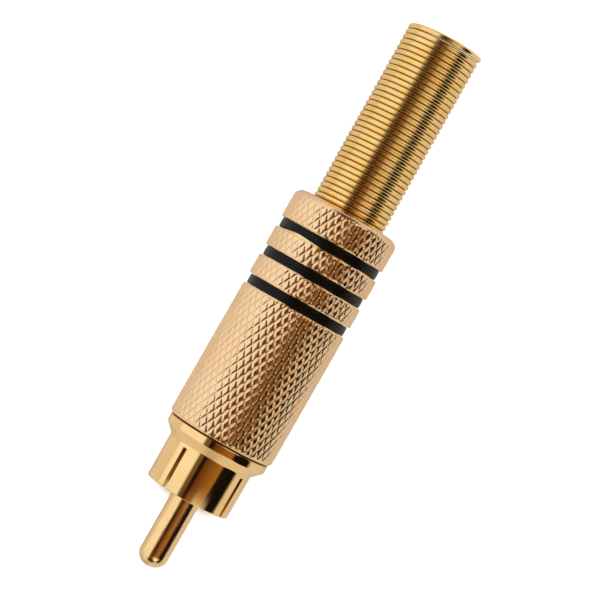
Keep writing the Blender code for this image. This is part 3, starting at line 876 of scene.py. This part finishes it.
def makeSpring():
    turns = (spring["end"] - spring["start"]) / spring["pitch"] + spring["keptTurns"] + spring["taperTurns"]
    piece = looseObject("reliefSpring", bmesh.new())
    runTree(piece, makeCoilTree(), {
        "Points": round(turns * spring["stepsPerTurn"]) + 1, "Steps Per Turn": float(spring["stepsPerTurn"]),
        "Coil Radius": spring["coilRadius"], "Wire Radius": spring["wireRadius"], "Pitch": spring["pitch"],
        "End Station": spring["end"], "End Angle": math.radians(spring["endAngle"]),
        "Kept Turns": spring["keptTurns"], "Taper Turns": spring["taperTurns"],
        "Kept Growth": spring["keptGrowth"], "Tail Turns": spring["tailTurns"], "Tail Flare": spring["tailFlare"],
        "Tail Opening": spring["tailOpening"], "Wire Sides": spring["wireSides"], "Stray": spring["stray"],
        "Lean": spring["lean"], "Lean From": spring["leanFrom"], "Seed": spring["seed"], "Material": springGold,
    })
    shape = bmesh.new()
    shape.from_mesh(piece.data)
    bmesh.ops.recalc_face_normals(shape, faces=shape.faces)
    shape.to_mesh(piece.data)
    shape.free()
    fitToFrame(piece, springGold, "strain_relief_spring", sharpAngle=50)


makeSpring()
print("spring ready")


# The lug keeps its CAD shape, inside the barrel
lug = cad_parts["ground_lug"]
lug.data.materials.clear()
lug.data.materials.append(lugGold)
print("lug painted")


# Pale floor and soft studio surroundings
studio = {
    "floorColor": (0.86, 0.86, 0.86, 1), "fiberColor": (0.90, 0.90, 0.90, 1), "fiberScale": 900.0,
    "floorSize": 3.0, "floorRoughness": 0.9,
    # the paper's glow as the camera sees it, and as the plug mirrors it
    "floorSeen": 0.90, "floorMirrored": 0.34,
    # as mirrored, the paper on the +Y side glows with shadeShare up to shadeFrom, and fully from shadeTo: a
    # painted shadow of the plug, seen only in reflections
    "shadeShare": 0.35, "shadeFrom": 4.0, "shadeTo": 14.0, "shadeEdge": 0.5,
    # painted shadow under the plug: its colour, the corners of the patch and the width of its soft edge
    "underPlugShadow": (0.10, 0.05, 0.02, 1), "underFrom": (-24.0, -3.2), "underTo": (12.0, 3.2), "underFade": 1.3,
    "backdrop": (0.97, 0.97, 0.97, 1),
    # degrees from straight up towards -Y, and the light that comes from there
    "across": (
        (-180, (0.55, 0.55, 0.55)), (-112, (0.74, 0.72, 0.70)), (-95, (0.92, 0.90, 0.88)),
        (-86, (1.00, 1.00, 1.00)), (-27, (1.00, 0.98, 0.95)), (-22, (0.10, 0.06, 0.02)),
        (-15, (0.22, 0.13, 0.05)), (-11, (0.015, 0.006, 0.002)), (-5, (0.015, 0.006, 0.002)),
        (0, (0.13, 0.050, 0.014)), (41, (0.38, 0.17, 0.030)), (46, (0.012, 0.008, 0.005)),
        (83, (0.006, 0.006, 0.007)), (89, (0.60, 0.53, 0.42)), (120, (0.66, 0.60, 0.56)),
        (180, (0.55, 0.55, 0.55)),
    ),
    "slanting": (
        (-180, (0.55, 0.55, 0.55)), (-100, (0.85, 0.83, 0.80)), (-28, (0.98, 0.96, 0.92)),
        (-21, (0.12, 0.065, 0.024)), (-5, (0.05, 0.025, 0.008)), (2, (0.28, 0.14, 0.05)),
        (14, (0.38, 0.22, 0.10)), (20, (0.98, 0.90, 0.74)), (52, (1.02, 0.95, 0.82)),
        (60, (0.012, 0.009, 0.007)), (80, (0.012, 0.009, 0.007)), (90, (0.62, 0.58, 0.54)),
        (180, (0.55, 0.55, 0.55)),
    ),
    "steep": (
        (-180, (0.55, 0.55, 0.55)), (-100, (0.85, 0.83, 0.80)), (-48, (0.90, 0.86, 0.80)),
        (-38, (0.04, 0.018, 0.007)), (42, (0.04, 0.020, 0.008)), (52, (0.80, 0.72, 0.58)),
        (90, (0.72, 0.66, 0.58)), (180, (0.55, 0.55, 0.55)),
    ),
    # how far a direction leans along the plug, from 0 to 1, where the next ramp takes over
    "slantFrom": 0.23, "slantTo": 0.36, "steepFrom": 0.70, "steepTo": 0.80,
    "lengthwise": (0.50, 0.46, 0.40, 1), "lengthwiseFrom": 0.92, "lengthwiseTo": 0.985,
}


def skyRamp(tree, around, stops):
    node = put(tree, "ShaderNodeValToRGB", None, {"Fac": around})
    ramp = node.color_ramp
    while len(ramp.elements) < len(stops):
        ramp.elements.new(0.5)
    for element, (angle, color) in zip(ramp.elements, stops):
        element.position = (angle + 180) / 360
        element.color = (*color, 1)
    return node.outputs["Color"]


def makeFloor():
    shape = bmesh.new()
    bmesh.ops.create_grid(shape, x_segments=1, y_segments=1, size=studio["floorSize"] / 2)
    bmesh.ops.translate(shape, verts=shape.verts, vec=(0, 0, axisHeight - barrel["radius"] * mm))
    floor = looseObject("studioFloor", shape)
    material, tree, shader = newMaterial("floorPaper")
    shader.inputs["Roughness"].default_value = studio["floorRoughness"]
    shader.inputs["Specular IOR Level"].default_value = 0.0
    where = tree.nodes.new("ShaderNodeTexCoord").outputs["Object"]
    fiber = put(tree, "ShaderNodeTexNoise", None, {"Vector": where, "Scale": studio["fiberScale"], "Detail": 3.0})
    paper = blendColors(tree, fiber.outputs["Fac"], studio["floorColor"], studio["fiberColor"])
    # painted shadow: the paper under the plug is painted dark and does not glow, and shows through the collar's
    # slots
    axes = axesOf(tree, where)
    underShadow = 1.0
    fade = studio["underFade"]
    for axis, low, high in zip("XY", studio["underFrom"], studio["underTo"]):
        entering = remap(tree, axes[axis], (low - fade) * mm, (low + fade) * mm, smooth=True)
        leaving = remap(tree, axes[axis], (high - fade) * mm, (high + fade) * mm, 1.0, 0.0, smooth=True)
        underShadow = calc(tree, "MULTIPLY", underShadow, calc(tree, "MULTIPLY", entering, leaving))
    tree.links.new(blendColors(tree, underShadow, paper, studio["underPlugShadow"]), shader.inputs["Base Color"])
    seen = tree.nodes.new("ShaderNodeLightPath").outputs["Is Camera Ray"]
    shader.inputs["Emission Color"].default_value = (1, 1, 1, 1)
    glow = remap(tree, seen, 0.0, 1.0, studio["floorMirrored"], studio["floorSeen"])
    glow = calc(tree, "MULTIPLY", glow, calc(tree, "SUBTRACT", 1.0, underShadow))
    # painted shadow in reflections: the mirrored paper beside the plug on +Y glows less
    onSide = remap(tree, axes["Y"], -studio["shadeEdge"] * mm, studio["shadeEdge"] * mm)
    shadeFrom, shadeTo = studio["shadeFrom"] * mm, studio["shadeTo"] * mm
    shaded = remap(tree, axes["Y"], shadeFrom, shadeTo, studio["shadeShare"], 1.0, smooth=True)
    shaded = calc(tree, "SUBTRACT", 1.0, calc(tree, "MULTIPLY", onSide, calc(tree, "SUBTRACT", 1.0, shaded)))
    glow = calc(tree, "MULTIPLY", glow, calc(tree, "MAXIMUM", shaded, seen))
    tree.links.new(glow, shader.inputs["Emission Strength"])
    floor.data.materials.append(material)


def makeWorld():
    # light by the direction that it comes from
    world = bpy.data.worlds.new("softStudio")
    world.use_nodes = True
    scene.world = world
    tree = world.node_tree
    axes = axesOf(tree, tree.nodes.new("ShaderNodeTexCoord").outputs["Generated"])
    angle = calc(tree, "ARCTAN2", calc(tree, "MULTIPLY", axes["Y"], -1.0), axes["Z"])
    around = calc(tree, "MULTIPLY_ADD", angle, 1 / (2 * math.pi), 0.5)
    lengthwise = calc(tree, "ABSOLUTE", axes["X"])
    slant = remap(tree, lengthwise, studio["slantFrom"], studio["slantTo"], smooth=True)
    steep = remap(tree, lengthwise, studio["steepFrom"], studio["steepTo"], smooth=True)
    ends = remap(tree, lengthwise, studio["lengthwiseFrom"], studio["lengthwiseTo"], smooth=True)
    sky = skyRamp(tree, around, studio["across"])
    sky = blendColors(tree, slant, sky, skyRamp(tree, around, studio["slanting"]))
    sky = blendColors(tree, steep, sky, skyRamp(tree, around, studio["steep"]))
    sky = blendColors(tree, ends, sky, studio["lengthwise"])
    seen = tree.nodes.new("ShaderNodeLightPath").outputs["Is Camera Ray"]
    sky = blendColors(tree, seen, sky, studio["backdrop"])
    tree.links.new(sky, tree.nodes["Background"].inputs["Color"])


makeFloor()
makeWorld()
scene.view_settings.view_transform = "Standard"
print("studio ready")
